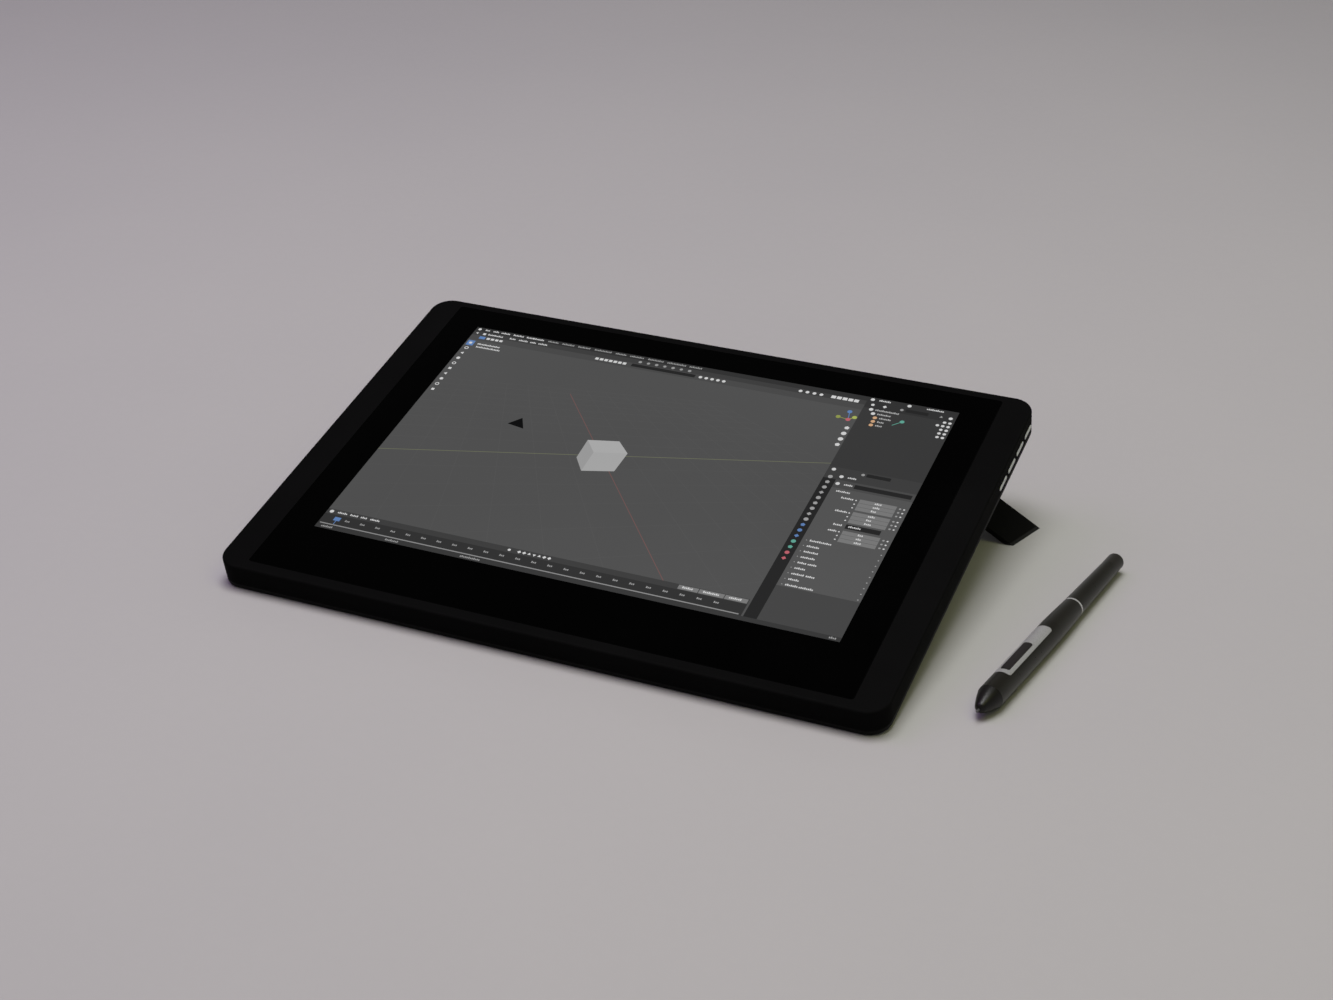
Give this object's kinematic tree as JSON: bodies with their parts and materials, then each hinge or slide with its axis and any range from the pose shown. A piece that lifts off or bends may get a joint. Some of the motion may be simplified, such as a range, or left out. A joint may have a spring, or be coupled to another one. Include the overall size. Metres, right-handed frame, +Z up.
{
  "type": "graphics tablet",
  "caption": "Slim pen display with a flush glass, standing tilted on fold-out legs, with side keys and a battery-free pen lying beside it.",
  "frame": {"origin": "centre of the whole object's footprint, on the surface it stands on, with the legs open and the pen beside it", "axes": "+X to the user's right along the housing's front edge, +Y away from the user, +Z up"},
  "size_m": [0.4002, 0.228, 0.0628],
  "materials": {
    "housing": "fine matt texture",
    "cover_glass": "etched, with a printed black border",
    "adhesive": "matt",
    "optical_adhesive": "clear",
    "display_panel": "smooth",
    "foam": "matt",
    "circuit_board": "solder mask",
    "sheet_steel": "satin",
    "cast_chassis": "satin",
    "screw_steel": "bright",
    "flat_cable": "smooth",
    "back_housing": "fine matt texture",
    "black_screw": "black oxide",
    "foot_rubber": "matt",
    "leg_plastic": "fine matt texture",
    "pin_steel": "ground",
    "socket_steel": "satin",
    "key_silver": "satin",
    "holder_plastic": "smooth",
    "switch_case": "matt",
    "pen_nose": "satin black",
    "pen_barrel": "soft touch",
    "pen_silver": "silver lacquer",
    "pen_switch": "matt",
    "pen_ring": "bright",
    "pen_cap": "satin",
    "nib_plastic": "smooth",
    "ferrite_coil": "lacquered wire",
    "sensor_case": "matt"
  },
  "bodies": {
    "tablet": {"front_frame": "housing", "cover_glass": "cover_glass", "glass_tape": "adhesive", "optical_bond": "optical_adhesive", "lcd_panel": "display_panel", "panel_foam": "foam", "digitizer_board": "circuit_board", "shield_plate": "sheet_steel", "chassis_plate": "cast_chassis", "chassis_screws": "screw_steel", "panel_strip": "circuit_board", "panel_foils": "flat_cable", "panel_ribbon": "flat_cable", "digitizer_ribbon": "flat_cable", "key_ribbon": "flat_cable", "main_board": "circuit_board", "board_can": "sheet_steel", "board_screws": "screw_steel", "key_board": "circuit_board", "back_cover": "back_housing", "cover_screws": "black_screw", "front_foot": "foot_rubber", "rear_foot_right": "foot_rubber", "rear_foot_left": "foot_rubber", "leg_pin_right": "pin_steel", "leg_pin_left": "pin_steel", "usb_socket_front": "socket_steel", "usb_socket_rear": "socket_steel", "tact_switch_1": "switch_case", "tact_switch_2": "switch_case", "tact_switch_3": "switch_case", "tact_switch_4": "switch_case"},
    "pen": {"pen_nose_cone": "pen_nose", "pen_front_barrel": "pen_barrel", "pen_switch_plate": "pen_silver", "pen_rocker_pin": "pin_steel", "pen_ring": "pen_ring", "pen_rear_barrel": "pen_barrel", "pen_end_cap": "pen_cap", "pen_coil": "ferrite_coil", "pen_pressure_sensor": "sensor_case", "pen_board": "circuit_board", "pen_switches": "switch_case"},
    "pen_nib": {"pen_nib": "nib_plastic", "pen_nib_holder": "holder_plastic"},
    "pen_rocker": {"pen_rocker": "pen_switch"},
    "leg_right": {"leg_right": "leg_plastic", "leg_sole_right": "foot_rubber"},
    "leg_left": {"leg_left": "leg_plastic", "leg_sole_left": "foot_rubber"},
    "side_key_1": {"side_key_1": "key_silver", "key_plunger_1": "holder_plastic"},
    "side_key_2": {"side_key_2": "key_silver", "key_plunger_2": "holder_plastic"},
    "side_key_3": {"side_key_3": "key_silver", "key_plunger_3": "holder_plastic"},
    "side_key_4": {"side_key_4": "key_silver", "key_plunger_4": "holder_plastic"}
  },
  "joints": [
    {"name": "leg_right_fold", "type": "hinge", "parent": "tablet", "child": "leg_right", "pos_m": [0.08121, 0.07849, 0.04364], "axis": [0, 0.9767, 0.2147], "range_deg": [0, 145.3]},
    {"name": "leg_left_fold", "type": "hinge", "parent": "tablet", "child": "leg_left", "pos_m": [-0.12979, 0.07849, 0.04364], "axis": [0, -0.9767, -0.2147], "range_deg": [0, 145.3]},
    {"name": "side_key_1_press", "type": "slide", "parent": "tablet", "child": "side_key_1", "axis": [-1, 0, 0], "range_m": [0, 0.0004], "stiffness_N_per_m": 1500, "springref_m": -0.0003},
    {"name": "side_key_2_press", "type": "slide", "parent": "tablet", "child": "side_key_2", "axis": [-1, 0, 0], "range_m": [0, 0.0004], "stiffness_N_per_m": 1500, "springref_m": -0.0003},
    {"name": "side_key_3_press", "type": "slide", "parent": "tablet", "child": "side_key_3", "axis": [-1, 0, 0], "range_m": [0, 0.0004], "stiffness_N_per_m": 1500, "springref_m": -0.0003},
    {"name": "side_key_4_press", "type": "slide", "parent": "tablet", "child": "side_key_4", "axis": [-1, 0, 0], "range_m": [0, 0.0004], "stiffness_N_per_m": 1500, "springref_m": -0.0003},
    {"name": "pen_lift", "type": "slide", "parent": "tablet", "child": "pen", "axis": [0, 0, 1], "range_m": [0, 0.15]},
    {"name": "pen_nib_press", "type": "slide", "parent": "pen", "child": "pen_nib", "axis": [0.1461, 0.9893, 0], "range_m": [0, 0.0008], "stiffness_N_per_m": 1200, "springref_m": -0.0003},
    {"name": "pen_rocker_tilt", "type": "hinge", "parent": "pen", "child": "pen_rocker", "pos_m": [0.17892, -0.04174, 0.00982], "axis": [0.9819, -0.145, 0.1219], "range_deg": [-2.5, 2.5], "stiffness_Nm_per_rad": 0.5}
  ]
}
